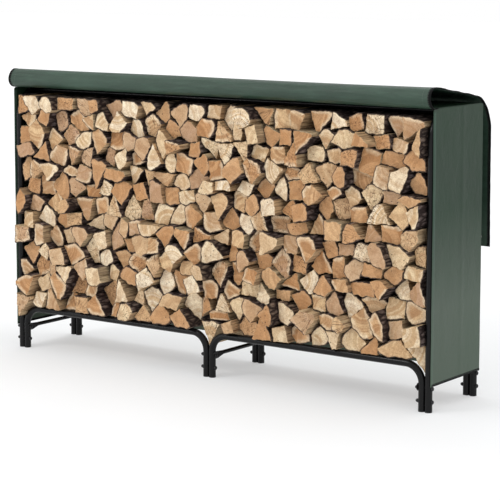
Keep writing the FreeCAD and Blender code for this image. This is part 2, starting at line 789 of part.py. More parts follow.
os.makedirs("parts", exist_ok=True)
make_base_rails()
make_end_frames()
make_leg_caps()
make_crossbars()
make_leg_fasteners()
make_top_rails()
make_rail_sleeves()
make_spigots()
make_rail_screws()
make_side_panels()
make_cover_sheets()
make_flap()
make_eyelets()
make_bindings()
make_firewood()
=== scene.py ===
import math
import random

import bpy
import numpy as np
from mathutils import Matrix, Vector, noise


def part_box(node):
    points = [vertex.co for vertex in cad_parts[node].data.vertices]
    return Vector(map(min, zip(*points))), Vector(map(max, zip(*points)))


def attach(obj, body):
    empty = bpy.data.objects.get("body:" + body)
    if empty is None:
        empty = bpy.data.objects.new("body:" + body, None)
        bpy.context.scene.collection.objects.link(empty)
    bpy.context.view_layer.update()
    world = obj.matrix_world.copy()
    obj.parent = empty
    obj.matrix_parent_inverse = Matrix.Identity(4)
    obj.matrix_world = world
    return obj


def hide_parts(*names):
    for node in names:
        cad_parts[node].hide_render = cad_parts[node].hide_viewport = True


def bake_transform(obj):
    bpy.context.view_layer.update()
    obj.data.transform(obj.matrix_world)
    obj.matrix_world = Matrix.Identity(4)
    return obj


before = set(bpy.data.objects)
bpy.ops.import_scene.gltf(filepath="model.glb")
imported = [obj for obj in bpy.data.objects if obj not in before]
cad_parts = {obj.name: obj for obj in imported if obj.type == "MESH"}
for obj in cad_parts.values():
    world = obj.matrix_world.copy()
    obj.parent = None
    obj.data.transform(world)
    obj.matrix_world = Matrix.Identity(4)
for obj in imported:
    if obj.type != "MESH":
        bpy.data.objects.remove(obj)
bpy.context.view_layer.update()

# ---------------- sizes, in metres
RAIL_BEND = 0.070          # centre-line radii of the bent tubes
FRAME_BEND = 0.105
CURTAIN_SLOPE = 8.5        # degrees
REAR_BEND = 0.140
CORNER = 0.012             # of the sheet over the rear top edge
CLOTH = 0.0016             # the fabric as it shows
SEAM_ROOM = 0.0005         # from the top panel to the curtain that is sewn to it
TAPE_WIDTH = 0.012
TAPE = 0.0008              # thickness
HALF_TAPED = CLOTH / 2 + TAPE
HEM_WIDTH = 0.015
HALF_HEM = CLOTH / 2 + 0.0007
STITCH_PITCH = 0.0085
STITCH = 0.0055
STITCH_WIDTH = 0.0011

LOW, HIGH = 0, 1
rail_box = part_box("base_rail_front_right")
curtain_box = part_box("curtain")
flap_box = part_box("curtain_flap")
side_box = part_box("cover_side_right")
back_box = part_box("cover_back")
top_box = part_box("cover_top")
TUBE_R = (rail_box[HIGH].y - rail_box[LOW].y) / 2
CAD_CLOTH = side_box[HIGH].x - side_box[LOW].x
PANEL_CORNER = CORNER - CAD_CLOTH / 2


# ---------------- meshes

def new_mesh(name, points, faces):
    """A smooth mesh object from points and faces; the object sits at the origin."""
    data = bpy.data.meshes.new(name)
    data.from_pydata([tuple(p) for p in points], [], faces)
    data.validate()
    data.polygons.foreach_set("use_smooth", [True] * len(data.polygons))
    made = bpy.data.objects.new(name, data)
    bpy.context.scene.collection.objects.link(made)
    return made


class Builder:
    """Gathers points and faces of many small parts into one mesh."""

    def __init__(self):
        self.points, self.faces, self.slots = [], [], []

    def face(self, corners, flip=False, slot=0):
        self.faces.append(tuple(reversed(corners)) if flip else tuple(corners))
        self.slots.append(slot)

    def grid(self, rows, closed=False, slot=0):
        """Quads between rows of points; closed joins each row's end to its start."""
        start = len(self.points)
        count = len(rows[0])
        for row in rows:
            self.points.extend(row)
        span = count if closed else count - 1
        for r in range(len(rows) - 1):
            a = start + r * count
            for c in range(span):
                d = (c + 1) % count
                self.face((a + c, a + d, a + count + d, a + count + c), slot=slot)
        return start

    def skin(self, rows):
        """A closed skin round rings of points, with a polygon over each end."""
        count = len(rows[0])
        start = self.grid(rows, closed=True)
        last = start + (len(rows) - 1) * count
        self.face(range(start, start + count), flip=True)
        self.face(range(last, last + count))

    def shell(self, outer, inner):
        """The two faces of a sheet, each as rows of points, joined along their four edges."""
        count, last = len(outer[0]), len(outer) - 1
        first = self.grid(outer)
        second = self.grid([list(reversed(row)) for row in inner])
        for c in range(count - 1):
            for r in (0, last):
                a, b = first + r * count, second + r * count
                self.face((a + c, a + c + 1, b + count - 2 - c, b + count - 1 - c), flip=not r)
        for r in range(last):
            a, b = first + r * count, second + r * count
            for edge, back in ((0, count - 1), (count - 1, 0)):
                self.face((a + edge, a + count + edge, b + count + back, b + back), flip=not edge)

    def done(self, name, crease=None):
        """The mesh, smooth but for edges that turn by more than crease degrees."""
        made = new_mesh(name, self.points, self.faces)
        made.data.polygons.foreach_set("material_index", self.slots)
        if crease:
            with bpy.context.temp_override(active_object=made, selected_objects=[made], object=made,
                                           selected_editable_objects=[made]):
                bpy.ops.object.shade_smooth_by_angle(angle=math.radians(crease))
        return made


def ring(centre, side, up, radius, count):
    return [centre + side * (radius * math.cos(2 * math.pi * i / count))
            + up * (radius * math.sin(2 * math.pi * i / count)) for i in range(count)]


def mirrored(side):
    """A closed section from the points of its upper side, as (across, off)."""
    return side + [(across, -off) for across, off in reversed(side)]


def closed_lathe(builder, base, axis, profile, count=32, radius_at=lambda angle, radius: radius):
    """A turned part: profile is (distance along axis, radius); radius_at may shape it round the axis."""
    side = axis.orthogonal().normalized()
    up = axis.cross(side)
    rows = []
    for along, radius in profile:
        row = []
        for i in range(count):
            angle = 2 * math.pi * i / count
            r = radius_at(angle, radius)
            row.append(base + axis * along + side * (r * math.cos(angle)) + up * (r * math.sin(angle)))
        rows.append(row)
    builder.skin(rows)


def solids_of(node):
    """The separate solids of a CAD node, each as an array of its own points."""
    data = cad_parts[node].data
    points = np.empty(len(data.vertices) * 3)
    data.vertices.foreach_get("co", points)
    points = points.reshape(-1, 3)
    keys, place = np.unique(np.round(points, 6), axis=0, return_inverse=True)
    place = place.ravel()
    parent = list(range(len(keys)))

    def root(i):
        while parent[i] != i:
            parent[i] = parent[parent[i]]
            i = parent[i]
        return i

    for face in data.polygons:
        first = root(place[face.vertices[0]])
        for vertex in face.vertices[1:]:
            parent[root(place[vertex])] = first
            first = root(first)
    groups = {}
    for i in range(len(keys)):
        groups.setdefault(root(i), []).append(i)
    solids = [keys[members] for members in groups.values()]
    return sorted(solids, key=lambda s: tuple(np.round(s.min(axis=0), 4)))


def extent(solid):
    """The low and the high corner of a solid, and its middle."""
    low, high = Vector(solid.min(axis=0)), Vector(solid.max(axis=0))
    return low, high, (low + high) / 2


# ---------------- shader nodes

def srgb(red, green, blue):
    """A colour as seen, 0 to 255, as the linear colour that a shader takes."""
    def linear(value):
        value /= 255
        return value / 12.92 if value <= 0.04045 else ((value + 0.055) / 1.055) ** 2.4
    return (linear(red), linear(green), linear(blue), 1.0)


class Shader:
    """A material with a Principled shader, and short calls for the nodes that feed it."""

    def __init__(self, name, **sockets):
        self.material = bpy.data.materials.new(name)
        self.material.use_nodes = True
        self.tree = self.material.node_tree
        self.tree.nodes.clear()
        output = self.tree.nodes.new("ShaderNodeOutputMaterial")
        self.bsdf = self.tree.nodes.new("ShaderNodeBsdfPrincipled")
        self.tree.links.new(self.bsdf.outputs[0], output.inputs[0])
        self.coordinates = self.tree.nodes.new("ShaderNodeTexCoord").outputs["Object"]
        for key, value in sockets.items():
            self.set(key.replace("_", " "), value)

    def set(self, socket, value):
        self.feed(self.bsdf.inputs[socket], value)

    def feed(self, socket, value):
        if isinstance(value, bpy.types.NodeSocket):
            self.tree.links.new(value, socket)
        else:
            socket.default_value = value

    def add(self, kind, inputs, output=0, **settings):
        made = self.tree.nodes.new("ShaderNode" + kind)
        for key, value in settings.items():
            setattr(made, key, value)
        for key, value in inputs.items():
            self.feed(made.inputs[key], value)
        return made.outputs[output]

    def attribute(self, name, output="Vector"):
        made = self.tree.nodes.new("ShaderNodeAttribute")
        made.attribute_name = name
        return made.outputs[output]

    def channel(self, name, index):
        """One channel of a colour attribute."""
        return self.add("SeparateColor", {0: self.attribute(name, "Color")}, index)

    def component(self, vector, index):
        return self.add("SeparateXYZ", {0: vector}, index)

    def stretched(self, vector, scale):
        return self.add("Mapping", {"Vector": vector, "Scale": scale})

    def noise(self, vector, scale, detail=3.0, roughness=0.5, distortion=0.0):
        return self.add("TexNoise", {"Vector": vector, "Scale": scale, "Detail": detail,
                                     "Roughness": roughness, "Distortion": distortion})

    def math(self, operation, a, b=0.0, c=0.0):
        return self.add("Math", {0: a, 1: b, 2: c}, operation=operation)

    def ramp(self, factor, *stops):
        made = self.tree.nodes.new("ShaderNodeValToRGB")
        self.feed(made.inputs[0], factor)
        ramp = made.color_ramp
        while len(ramp.elements) < len(stops):
            ramp.elements.new(0.5)
        for element, (place, colour) in zip(ramp.elements, stops):
            element.position = place
            element.color = colour if hasattr(colour, "__len__") else (colour, colour, colour, 1.0)
        return made.outputs["Color"]

    def mix(self, factor, a, b, blend="MIX"):
        made = self.tree.nodes.new("ShaderNodeMix")
        made.data_type = "RGBA"
        made.blend_type = blend
        self.feed(made.inputs[0], factor)
        self.feed(made.inputs[6], a)
        self.feed(made.inputs[7], b)
        return made.outputs[2]

    def bump(self, height, strength, distance, normal=None):
        inputs = {"Height": height, "Strength": strength, "Distance": distance}
        if normal is not None:
            inputs["Normal"] = normal
        return self.add("Bump", inputs)


def powder_coat():
    """Satin black powder coat: fine orange peel, slight variation of gloss."""
    s = Shader("powder_coat", Specular_IOR_Level=0.20)
    peel = s.noise(s.coordinates, 620.0, 2.0)
    cloud = s.noise(s.coordinates, 9.0, 4.0)
    s.set("Base Color", s.ramp(cloud, (0.3, srgb(11, 11, 12)), (0.7, srgb(17, 17, 18))))
    s.set("Roughness", s.ramp(cloud, (0.3, 0.19), (0.7, 0.28)))
    s.set("Normal", s.bump(peel, 0.25, 0.0003))
    return s.material


def black_oxide():
    """Blackened steel of the bolts and nuts, with worn high spots."""
    s = Shader("black_oxide", Metallic=0.6)
    grain = s.noise(s.coordinates, 260.0, 5.0)
    s.set("Base Color", s.ramp(grain, (0.35, srgb(20, 20, 21)), (0.75, srgb(66, 66, 68))))
    s.set("Roughness", s.ramp(grain, (0.3, 0.32), (0.8, 0.55)))
    s.set("Normal", s.bump(grain, 0.2, 0.0003))
    return s.material


def black_plastic():
    """Moulded cap plastic with a fine spark-eroded grain."""
    s = Shader("cap_plastic")
    grain = s.noise(s.coordinates, 900.0, 2.0)
    s.set("Base Color", s.ramp(grain, (0.3, srgb(22, 22, 23)), (0.7, srgb(32, 32, 33))))
    s.set("Roughness", s.ramp(grain, (0.3, 0.5), (0.7, 0.7)))
    s.set("Normal", s.bump(grain, 0.3, 0.0002))
    return s.material


def plated_metal():
    """Nickel-plated eyelets with fine circular scuffs."""
    s = Shader("plated_metal", Metallic=1.0)
    scuff = s.noise(s.coordinates, 300.0, 4.0)
    s.set("Base Color", s.ramp(scuff, (0.3, srgb(150, 150, 150)), (0.7, srgb(205, 204, 200))))
    s.set("Roughness", s.ramp(scuff, (0.3, 0.22), (0.8, 0.45)))
    return s.material


def weave_height(s, threads_per_m):
    """A plain weave from the cloth's own coordinates, which are in metres."""
    waves = []
    for axis in (0, 1):
        turns = s.math("MULTIPLY", s.component(s.attribute("cloth"), axis), 2 * math.pi * threads_per_m)
        waves.append(s.math("SINE", turns))
    return s.math("MULTIPLY_ADD", s.math("MULTIPLY", *waves), 0.5, 0.5)


def coated_fabric(name, dark, middle, light, gloss=0.18, streak_sheen=0.0):
    """Green coated polyester: a tight weave under a soft coating, cloudy and creased, with painted light that
    makes it paler low down.
    """
    s = Shader(name, Specular_IOR_Level=gloss)
    weave = weave_height(s, 900.0)
    cloud = s.noise(s.stretched(s.coordinates, (1.0, 1.0, 1.6)), 2.3, 5.0, 0.55)
    colour = s.ramp(cloud, (0.30, dark), (0.52, middle), (0.74, light))
    grain = s.noise(s.coordinates, 420.0, 3.0, 0.6)
    colour = s.mix(0.16, colour, s.ramp(grain, (0.3, dark), (0.7, light)))
    # Painted light: the cloth is mixed towards a paler green towards the bottom, with a little of its own
    # cloudiness in the mix.
    painted_light_low_down = s.ramp(s.component(s.coordinates, 2), (0.38, 0.38), (0.74, 0.0))
    colour = s.mix(s.math("MULTIPLY_ADD", cloud, 0.08, painted_light_low_down), colour, srgb(108, 120, 108))
    creases = s.noise(s.stretched(s.coordinates, (1.4, 3.0, 1.8)), 7.0, 6.0, 0.62, 0.6)
    folds = s.bump(creases, 0.35, 0.006)
    if streak_sheen:
        sheen_streaks = s.noise(s.stretched(s.attribute("cloth"), (7.0, 55.0, 1.0)), 1.0, 6.0, 0.68, 0.5)
        # Painted sheen: lighter streaks mixed into the colour; the bump along the same streaks is the cloth's
        # own relief.
        colour = s.mix(s.ramp(sheen_streaks, (0.46, 0.0), (0.72, 0.4 * streak_sheen)), colour, srgb(74, 102, 86))
        folds = s.bump(sheen_streaks, streak_sheen, 0.005, folds)
    s.set("Base Color", colour)
    s.set("Roughness", s.ramp(cloud, (0.3, 0.38), (0.7, 0.52)))
    s.set("Normal", s.bump(weave, 0.25, 0.0002, s.bump(grain, 0.2, 0.0004, folds)))
    return s.material


def binding_tape():
    """Narrow woven tape with ribs across it."""
    s = Shader("binding_tape", Specular_IOR_Level=0.10)
    weave = weave_height(s, 700.0)
    s.set("Base Color", s.ramp(weave, (0.1, srgb(6, 6, 6)), (0.9, srgb(17, 18, 18))))
    s.set("Roughness", s.ramp(weave, (0.1, 0.75), (0.9, 0.6)))
    s.set("Normal", s.bump(weave, 0.5, 0.0004))
    return s.material


def sewing_thread():
    """Twisted grey-green thread."""
    s = Shader("sewing_thread", Roughness=0.6)
    twist = s.noise(s.coordinates, 900.0, 2.0)
    s.set("Base Color", s.ramp(twist, (0.3, srgb(70, 80, 74)), (0.7, srgb(110, 120, 112))))
    return s.material


def wood_end():
    """Sawn end grain: rings round the heart, drying cracks, weathered blotches and a bark rim."""
    s = Shader("wood_end_grain", Specular_IOR_Level=0.2)
    pith = s.attribute("pith")
    tone, mottle_share, own = (s.channel("tone", index) for index in range(3))
    share, barked = (s.channel("rim", index) for index in range(2))

    reach = s.add("VectorMath", {0: pith}, "Value", operation="LENGTH")
    wander = s.math("MULTIPLY_ADD", s.noise(pith, 26.0, 3.0), 0.012, reach)
    growth = s.noise(s.add("CombineXYZ", {0: wander, 1: own}), 62.0, 2.0, 0.6)
    rings = s.ramp(growth, (0.42, 0.0), (0.58, 1.0))
    base = s.ramp(tone, (0.0, srgb(198, 150, 104)), (0.26, srgb(208, 163, 118)), (0.42, srgb(226, 194, 150)),
                  (0.58, srgb(192, 156, 126)), (0.74, srgb(236, 212, 172)), (1.0, srgb(246, 232, 206)))
    dark = s.ramp(tone, (0.0, srgb(164, 114, 70)), (0.5, srgb(172, 130, 90)), (1.0, srgb(206, 172, 126)))
    base = s.mix(s.math("MULTIPLY", rings, s.ramp(mottle_share, (0.42, 0.8), (0.5, 0.45))), base, dark)
    sapwood = s.math("MULTIPLY", s.ramp(share, (0.50, 0.0), (0.80, 0.55)), barked)
    sapwood = s.math("MULTIPLY", sapwood, s.ramp(mottle_share, (0.42, 1.0), (0.5, 0.15)))
    base = s.mix(sapwood, base, srgb(248, 232, 200))

    elsewhere = s.add("VectorMath", {0: s.coordinates, 1: (13.0, 7.0, 3.0)}, operation="ADD")
    blotches = s.noise(elsewhere, 38.0, 6.0, 0.7)
    base = s.mix(s.ramp(blotches, (0.44, 0.0), (0.68, 0.55)), base, srgb(164, 124, 90))
    fibre = s.noise(s.coordinates, 210.0, 4.0, 0.7)
    base = s.mix(s.ramp(fibre, (0.44, 0.0), (0.66, 0.42)), base, srgb(138, 100, 68))

    spin = s.add("VectorMath", {0: pith}, operation="NORMALIZE")
    turned = s.add("VectorMath", {0: spin, 1: s.attribute("tone")}, operation="ADD")
    off_crack = s.math("ABSOLUTE", s.math("SUBTRACT", s.noise(turned, 6.0, 2.0, 0.4), 0.5))
    cracks = s.ramp(off_crack, (0.0, 1.0), (0.010, 1.0), (0.024, 0.0))
    cracked = s.math("MULTIPLY", cracks, s.math("GREATER_THAN", own, 0.82))
    base = s.mix(s.math("MULTIPLY", cracked, 0.75), base, srgb(84, 56, 36))

    speck = s.ramp(s.add("TexVoronoi", {"Vector": s.coordinates, "Scale": 48.0}), (0.09, 1.0), (0.15, 0.0))
    dots = s.math("MULTIPLY", speck, s.math("GREATER_THAN", mottle_share, 0.78))
    base = s.mix(s.math("MULTIPLY", dots, 0.85), base, srgb(78, 60, 48))
    rim = s.math("MULTIPLY", s.ramp(share, (0.90, 0.0), (0.96, 1.0)), barked)
    base = s.mix(s.math("MULTIPLY", rim, 0.9), base, srgb(70, 54, 44))

    s.set("Base Color", base)
    s.set("Roughness", s.ramp(blotches, (0.3, 0.68), (0.8, 0.85)))
    grain = s.bump(s.math("MULTIPLY_ADD", rings, -0.5, fibre), 0.45, 0.0014)
    s.set("Normal", s.bump(cracks, 0.6, -0.002, grain))
    return s.material


def wood_split():
    """Split faces: torn fibres along the log, from straw and olive to grey-brown."""
    s = Shader("wood_split_face", Specular_IOR_Level=0.2)
    tone = s.channel("tone", 2)
    fibres = s.noise(s.stretched(s.coordinates, (150.0, 7.0, 150.0)), 1.0, 5.0, 0.65, 0.3)
    broad = s.noise(s.stretched(s.coordinates, (45.0, 5.0, 45.0)), 1.0, 4.0, 0.6)
    light = s.ramp(tone, (0.0, srgb(226, 192, 150)), (0.35, srgb(210, 192, 158)), (0.7, srgb(216, 180, 136)),
                   (1.0, srgb(236, 212, 172)))
    dark = s.ramp(tone, (0.0, srgb(118, 86, 60)), (0.35, srgb(104, 91, 70)), (0.7, srgb(106, 76, 52)),
                  (1.0, srgb(138, 108, 78)))
    colour = s.mix(s.ramp(fibres, (0.36, 0.0), (0.60, 1.0)), dark, light)
    colour = s.mix(s.ramp(broad, (0.40, 0.50), (0.60, 0.0)), colour, srgb(116, 92, 72))
    s.set("Base Color", colour)
    s.set("Roughness", s.ramp(fibres, (0.3, 0.9), (0.7, 0.72)))
    s.set("Normal", s.bump(fibres, 0.9, 0.004, s.bump(broad, 0.6, 0.006)))
    return s.material


def wood_bark():
    """Bark: grey-brown plates between dark furrows that run along the log."""
    s = Shader("wood_bark", Specular_IOR_Level=0.15)
    tone = s.channel("tone", 1)
    warped = s.stretched(s.coordinates, (55.0, 16.0, 55.0))
    plates = s.add("TexVoronoi", {"Vector": warped, "Scale": 1.0}, feature="DISTANCE_TO_EDGE")
    rough = s.noise(s.stretched(s.coordinates, (120.0, 40.0, 120.0)), 1.0, 6.0, 0.7)
    light = s.ramp(tone, (0.0, srgb(140, 121, 110)), (0.5, srgb(132, 119, 118)), (1.0, srgb(158, 138, 118)))
    colour = s.mix(s.ramp(plates, (0.06, 1.0), (0.34, 0.0)), light, srgb(38, 30, 28))
    colour = s.mix(s.ramp(rough, (0.38, 0.9), (0.60, 0.0)), colour, srgb(56, 44, 42))
    s.set("Base Color", colour)
    s.set("Roughness", s.ramp(rough, (0.3, 0.95), (0.7, 0.8)))
    s.set("Normal", s.bump(rough, 0.8, 0.003, s.bump(plates, 0.8, 0.006)))
    return s.material


FRAME_PAINT = powder_coat()
FASTENER = black_oxide()
CAP_PLASTIC = black_plastic()
EYELET_METAL = plated_metal()
FABRIC = coated_fabric("coated_fabric", srgb(24, 43, 30), srgb(29, 50, 35), srgb(35, 57, 42))
CURTAIN_FABRIC = coated_fabric("curtain_fabric", srgb(27, 49, 37), srgb(34, 58, 45), srgb(43, 69, 55),
                               gloss=0.40, streak_sheen=0.75)
HEM_FABRIC = coated_fabric("hem_fabric", srgb(46, 66, 55), srgb(53, 75, 63), srgb(62, 84, 72))
TAPE_BLACK = binding_tape()
THREAD = sewing_thread()
WOOD = [wood_end(), wood_split(), wood_bark()]


def finish_piece(piece, body, slot, *materials, replaces=()):
    """Gives a new piece its materials and its body, and hides the CAD nodes that it stands for."""
    for material in materials:
        piece.data.materials.append(material)
    if body:
        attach(piece, body)
    if replaces:
        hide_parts(*replaces)
    return piece


# ---------------- tubes

def hoop_points(place, half_span, height, bend, foot, steps=14):
    """Centre line of an upside-down U, with its two bends as arcs."""
    one_side = [(-half_span, foot), (-half_span, (foot + height - bend) / 2)]
    for i in range(steps + 1):
        angle = math.pi / 2 * i / steps
        one_side.append((-half_span + bend - bend * math.cos(angle), height - bend + bend * math.sin(angle)))
    return [place(u, z) for u, z in one_side + [(-u, z) for u, z in reversed(one_side)]]


def make_tube(node, line, across, radius=TUBE_R):
    """A painted tube in place of a CAD node, along points in one plane, whose normal is across."""
    rows = []
    for i, point in enumerate(line):
        ahead = line[min(i + 1, len(line) - 1)] - line[max(i - 1, 0)]
        rows.append(ring(point, across, ahead.normalized().cross(across), radius, 40))
    builder = Builder()
    builder.skin(rows)
    finish_piece(builder.done(node + "_tube", 40), "rack", "frame_paint", FRAME_PAINT, replaces=[node])


def make_tubes():
    """The base rails and end frames, bent to upside-down Us, and the straight top rails."""
    corners = [(row, side) for row in ("front", "rear") for side in ("left", "right")]
    for corner in corners:
        low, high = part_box("base_rail_%s_%s" % corner)
        middle = (low + high) / 2
        line = hoop_points(lambda u, z: Vector((middle.x + u, middle.y, z)), (high.x - low.x) / 2 - TUBE_R,
                           high.z - TUBE_R, RAIL_BEND, low.z)
        make_tube("base_rail_%s_%s" % corner, line, Vector((0, 1, 0)))
    for side in ("left", "right"):
        low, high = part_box("end_frame_%s" % side)
        x = (low.x + high.x) / 2
        line = hoop_points(lambda u, z: Vector((x, u, z)), (high.y - low.y) / 2 - TUBE_R, high.z - TUBE_R,
                           FRAME_BEND, low.z, steps=20)
        make_tube("end_frame_%s" % side, line, Vector((-1, 0, 0)))
    for corner in corners:
        low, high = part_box("top_rail_%s_%s" % corner)
        middle = (low + high) / 2
        line = [Vector((x, middle.y, middle.z)) for x in (low.x, middle.x, high.x)]
        make_tube("top_rail_%s_%s" % corner, line, Vector((0, 1, 0)), (high.z - low.z) / 2)


# ---------------- fasteners

def hexagon(flats):
    """Radius of a hexagon at an angle, no larger than the given radius."""
    def radius_at(angle, radius):
        within = (angle + math.pi / 6) % (math.pi / 3) - math.pi / 6
        return min(radius, flats / 2 / math.cos(within))
    return radius_at


def dome(start, height, radius, steps=7):
    """Profile of a domed end, from its rim inwards."""
    return [(start + height * math.sin(math.radians(88) * i / steps),
             radius * math.cos(math.radians(88) * i / steps)) for i in range(steps + 1)]


def make_bolts():
    height, recess, shank_r = 0.0052, 0.0028, 0.004
    builder = Builder()
    for solid in solids_of("leg_bolts"):
        low, high, middle = extent(solid)
        head_r = (high.z - low.z) / 2
        base = Vector((high.x - height, middle.y, middle.z))
        profile = [(0.0, head_r * 0.96), (0.0004, head_r), (0.0012, head_r)]
        profile += dome(0.0012, height - 0.0012, head_r)[1:-2]
        profile += [(height - 0.0006, recess * 1.25), (height - 0.0009, recess)]
        profile += [(height - 0.0030, recess * 0.96)]
        closed_lathe(builder, base, Vector((1, 0, 0)), profile)
        closed_lathe(builder, base, Vector((1, 0, 0)), [(low.x - base.x, shank_r), (0.0, shank_r)], 20)
    finish_piece(builder.done("leg_bolt_heads", 35), "rack", "black_fasteners", FASTENER,
                 replaces=["leg_bolts"])


def make_nuts():
    flats = 0.012
    corner = flats / math.sqrt(3)
    builder = Builder()
    for solid in solids_of("leg_cap_nuts"):
        low, high, middle = extent(solid)
        base = Vector((high.x, middle.y, middle.z))
        profile = [(0.0, corner * 0.90), (0.0007, corner), (0.0054, corner), (0.0064, corner * 0.9)]
        profile += [(0.0066, flats / 2 * 0.96)]
        profile += dome(0.0066, high.x - low.x - 0.0066, flats / 2 * 0.94)[1:]
        closed_lathe(builder, base, Vector((-1, 0, 0)), profile, 48, hexagon(flats))
    finish_piece(builder.done("leg_dome_nuts", 30), "rack", "black_fasteners", FASTENER,
                 replaces=["leg_cap_nuts"])


def make_caps():
    for row in ("front", "rear"):
        builder = Builder()
        for solid in solids_of("leg_caps_%s" % row):
            low, high, middle = extent(solid)
            profile = [(0.0, TUBE_R - 0.0012), (0.0003, TUBE_R - 0.0004), (0.001, TUBE_R), (0.003, TUBE_R),
                       (0.003, TUBE_R - 0.0018), (high.z - low.z, TUBE_R - 0.0022)]
            closed_lathe(builder, Vector((middle.x, middle.y, low.z)), Vector((0, 0, 1)), profile, 40)
        finish_piece(builder.done("foot_caps_%s" % row, 35), "rack", "cap_plastic", CAP_PLASTIC,
                     replaces=["leg_caps_%s" % row])


def make_eyelets(line):
    """A rolled ring on each face of the cloth, which it follows."""
    inner = 0.0056
    builder = Builder()
    for solid in solids_of("flap_eyelets"):
        low, high, middle = extent(solid)
        middle.y += curtain_lift(middle.x, line.length - (middle.z - flap_box[LOW].z))
        outer, half = (high.z - low.z) / 2, (high.y - low.y) / 2
        section = [(inner, 0.0)] + mirrored([(inner + 0.0006, half * 0.8), (inner + 0.0018, half * 1.15),
                                             (outer - 0.002, half), (outer - 0.0004, half * 0.75),
                                             (outer, half * 0.35)])
        rows = [ring(middle + Vector((0, along, 0)), Vector((1, 0, 0)), Vector((0, 0, 1)), radius, 32)
                for radius, along in section + section[:1]]
        builder.grid(rows, closed=True)
    finish_piece(builder.done("curtain_eyelets"), "flap", "eyelet_metal", EYELET_METAL,
                 replaces=["flap_eyelets"])


def dress_cad_nodes():
    """The small CAD parts that stay as they are, with their finishes."""
    painted = ["crossbar_left", "crossbar_middle", "crossbar_right", "top_rail_sleeves",
               "rail_spigots_left", "rail_spigots_right"]
    for node in painted + ["leg_washers", "top_rail_screws"]:
        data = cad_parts[node].data
        data.materials.clear()
        data.materials.append(FRAME_PAINT if node in painted else FASTENER)


# ---------------- fabric

def soft_noise(*place):
    return noise.noise(Vector(place))


def outward(heading):
    """The direction to the outside of a sheet line that runs at a heading."""
    angle = math.radians(heading)
    return Vector((0.0, -math.sin(angle), math.cos(angle)))


class SheetLine:
    """The line in the YZ plane that a sheet follows, as points, normals and distances along it."""

    def __init__(self, y, z, heading):
        self.y, self.z, self.heading, self.length = y, z, heading, 0.0
        self.stops = [(0.0, y, z, heading)]

    def note(self):
        self.stops.append((self.length, self.y, self.z, self.heading))

    def run(self, length, steps):
        angle = math.radians(self.heading)
        for _ in range(steps):
            self.y += length / steps * math.cos(angle)
            self.z += length / steps * math.sin(angle)
            self.length += length / steps
            self.note()
        return self

    def bend(self, radius, turn, steps):
        """Turns by degrees, positive to the left, round an arc of that radius."""
        side = 1 if turn > 0 else -1
        angle = math.radians(self.heading)
        centre_y = self.y - side * radius * math.sin(angle)
        centre_z = self.z + side * radius * math.cos(angle)
        for _ in range(steps):
            self.heading += turn / steps
            angle = math.radians(self.heading)
            self.y = centre_y + side * radius * math.sin(angle)
            self.z = centre_z - side * radius * math.cos(angle)
            self.length += radius * math.radians(abs(turn)) / steps
            self.note()
        return self

    def at(self, distance):
        """The point and heading at a distance along the line."""
        for a, b in zip(self.stops, self.stops[1:]):
            if b[0] >= distance or b is self.stops[-1]:
                t = (distance - a[0]) / (b[0] - a[0])
                return [a[k] + t * (b[k] - a[k]) for k in (1, 2, 3)]


def add_attribute(piece, name, values, kind="vector"):
    """A vector or a colour for each point of a piece, which its shader reads."""
    layer = piece.data.attributes.new(name, "FLOAT_" + kind.upper(), "POINT")
    layer.data.foreach_set(kind, np.array(values, dtype=np.float32).ravel())


def cloth_piece(builder, name, places):
    """The finished mesh of a sheet, hem or tape, with the cloth's own coordinates for its weave."""
    piece = builder.done(name, 50)
    add_attribute(piece, "cloth", places)
    return piece


def sheet_mesh(name, line, xs, lift):
    """A closed sheet along a line: lift gives how far a point stands off it, to the outside."""
    faces = []
    for offset in (CLOTH / 2, -CLOTH / 2):
        rows = []
        for along, y, z, heading in line.stops:
            normal = outward(heading)
            rows.append([Vector((x, y, z)) + normal * (lift(x, along) + offset) for x in xs])
        faces.append(rows)
    builder = Builder()
    builder.shell(*faces)
    places = [(x, stop[0], 0.0) for stop in line.stops for x in xs]
    places += [(x, stop[0], 0.0) for stop in line.stops for x in reversed(xs)]
    return cloth_piece(builder, name, places)


def strip_mesh(name, rows, mirrored_side):
    """A hem or tape through rings of (point, place on the cloth), turned over on the mirrored side."""
    if mirrored_side:
        rows = [list(reversed(row)) for row in rows]
    builder = Builder()
    builder.skin([[point for point, _ in row] for row in rows])
    return cloth_piece(builder, name, [place for row in rows for _, place in row])


def spread(low, high, count):
    return [low + (high - low) * i / count for i in range(count + 1)]


def curtain_line():
    """From the top panel's front edge forwards, round the roll, back down the slope and down the rear."""
    top_z = top_box[LOW].z + CAD_CLOTH / 2
    roll = (curtain_box[HIGH].z - top_box[LOW].z) / 2
    roll_y = curtain_box[LOW].y + roll
    start_y = top_box[LOW].y - SEAM_ROOM
    line = SheetLine(start_y, top_z, 180.0)
    line.run(start_y - roll_y, 6).bend(roll - CAD_CLOTH / 2, -180.0 - CURTAIN_SLOPE, 40)
    slope = math.radians(CURTAIN_SLOPE)
    bend_y = flap_box[HIGH].y - CAD_CLOTH / 2 - REAR_BEND * (1 - math.sin(slope))
    line.run((bend_y - line.y) / math.cos(slope), 24)
    fold_start = (line.y, line.z)
    line.bend(REAR_BEND, -90.0 + CURTAIN_SLOPE, 24)
    fold_end = (line.y, line.z)
    line.run(line.z - flap_box[LOW].z, 44)
    return line, fold_start, fold_end


def curtain_lift(x, along):
    """Soft wrinkles along the roll and the slope, and gentle waves in the hanging part."""
    lengthwise = soft_noise(x * 1.1, along * 26.0, 1.7) * 0.0030
    fine = soft_noise(x * 5.0, along * 60.0, 4.1) * 0.0005
    hang = min(max((along - 0.62) / 0.45, 0.0), 1.0)
    waves = soft_noise(x * 3.4, along * 0.9, 9.3) * 0.008 + soft_noise(x * 9.0, along * 1.6, 2.2) * 0.003
    slack = soft_noise(x * 1.7, along * 3.0, 6.6) * 0.003
    return lengthwise + fine + waves * hang + slack * (1 - hang)


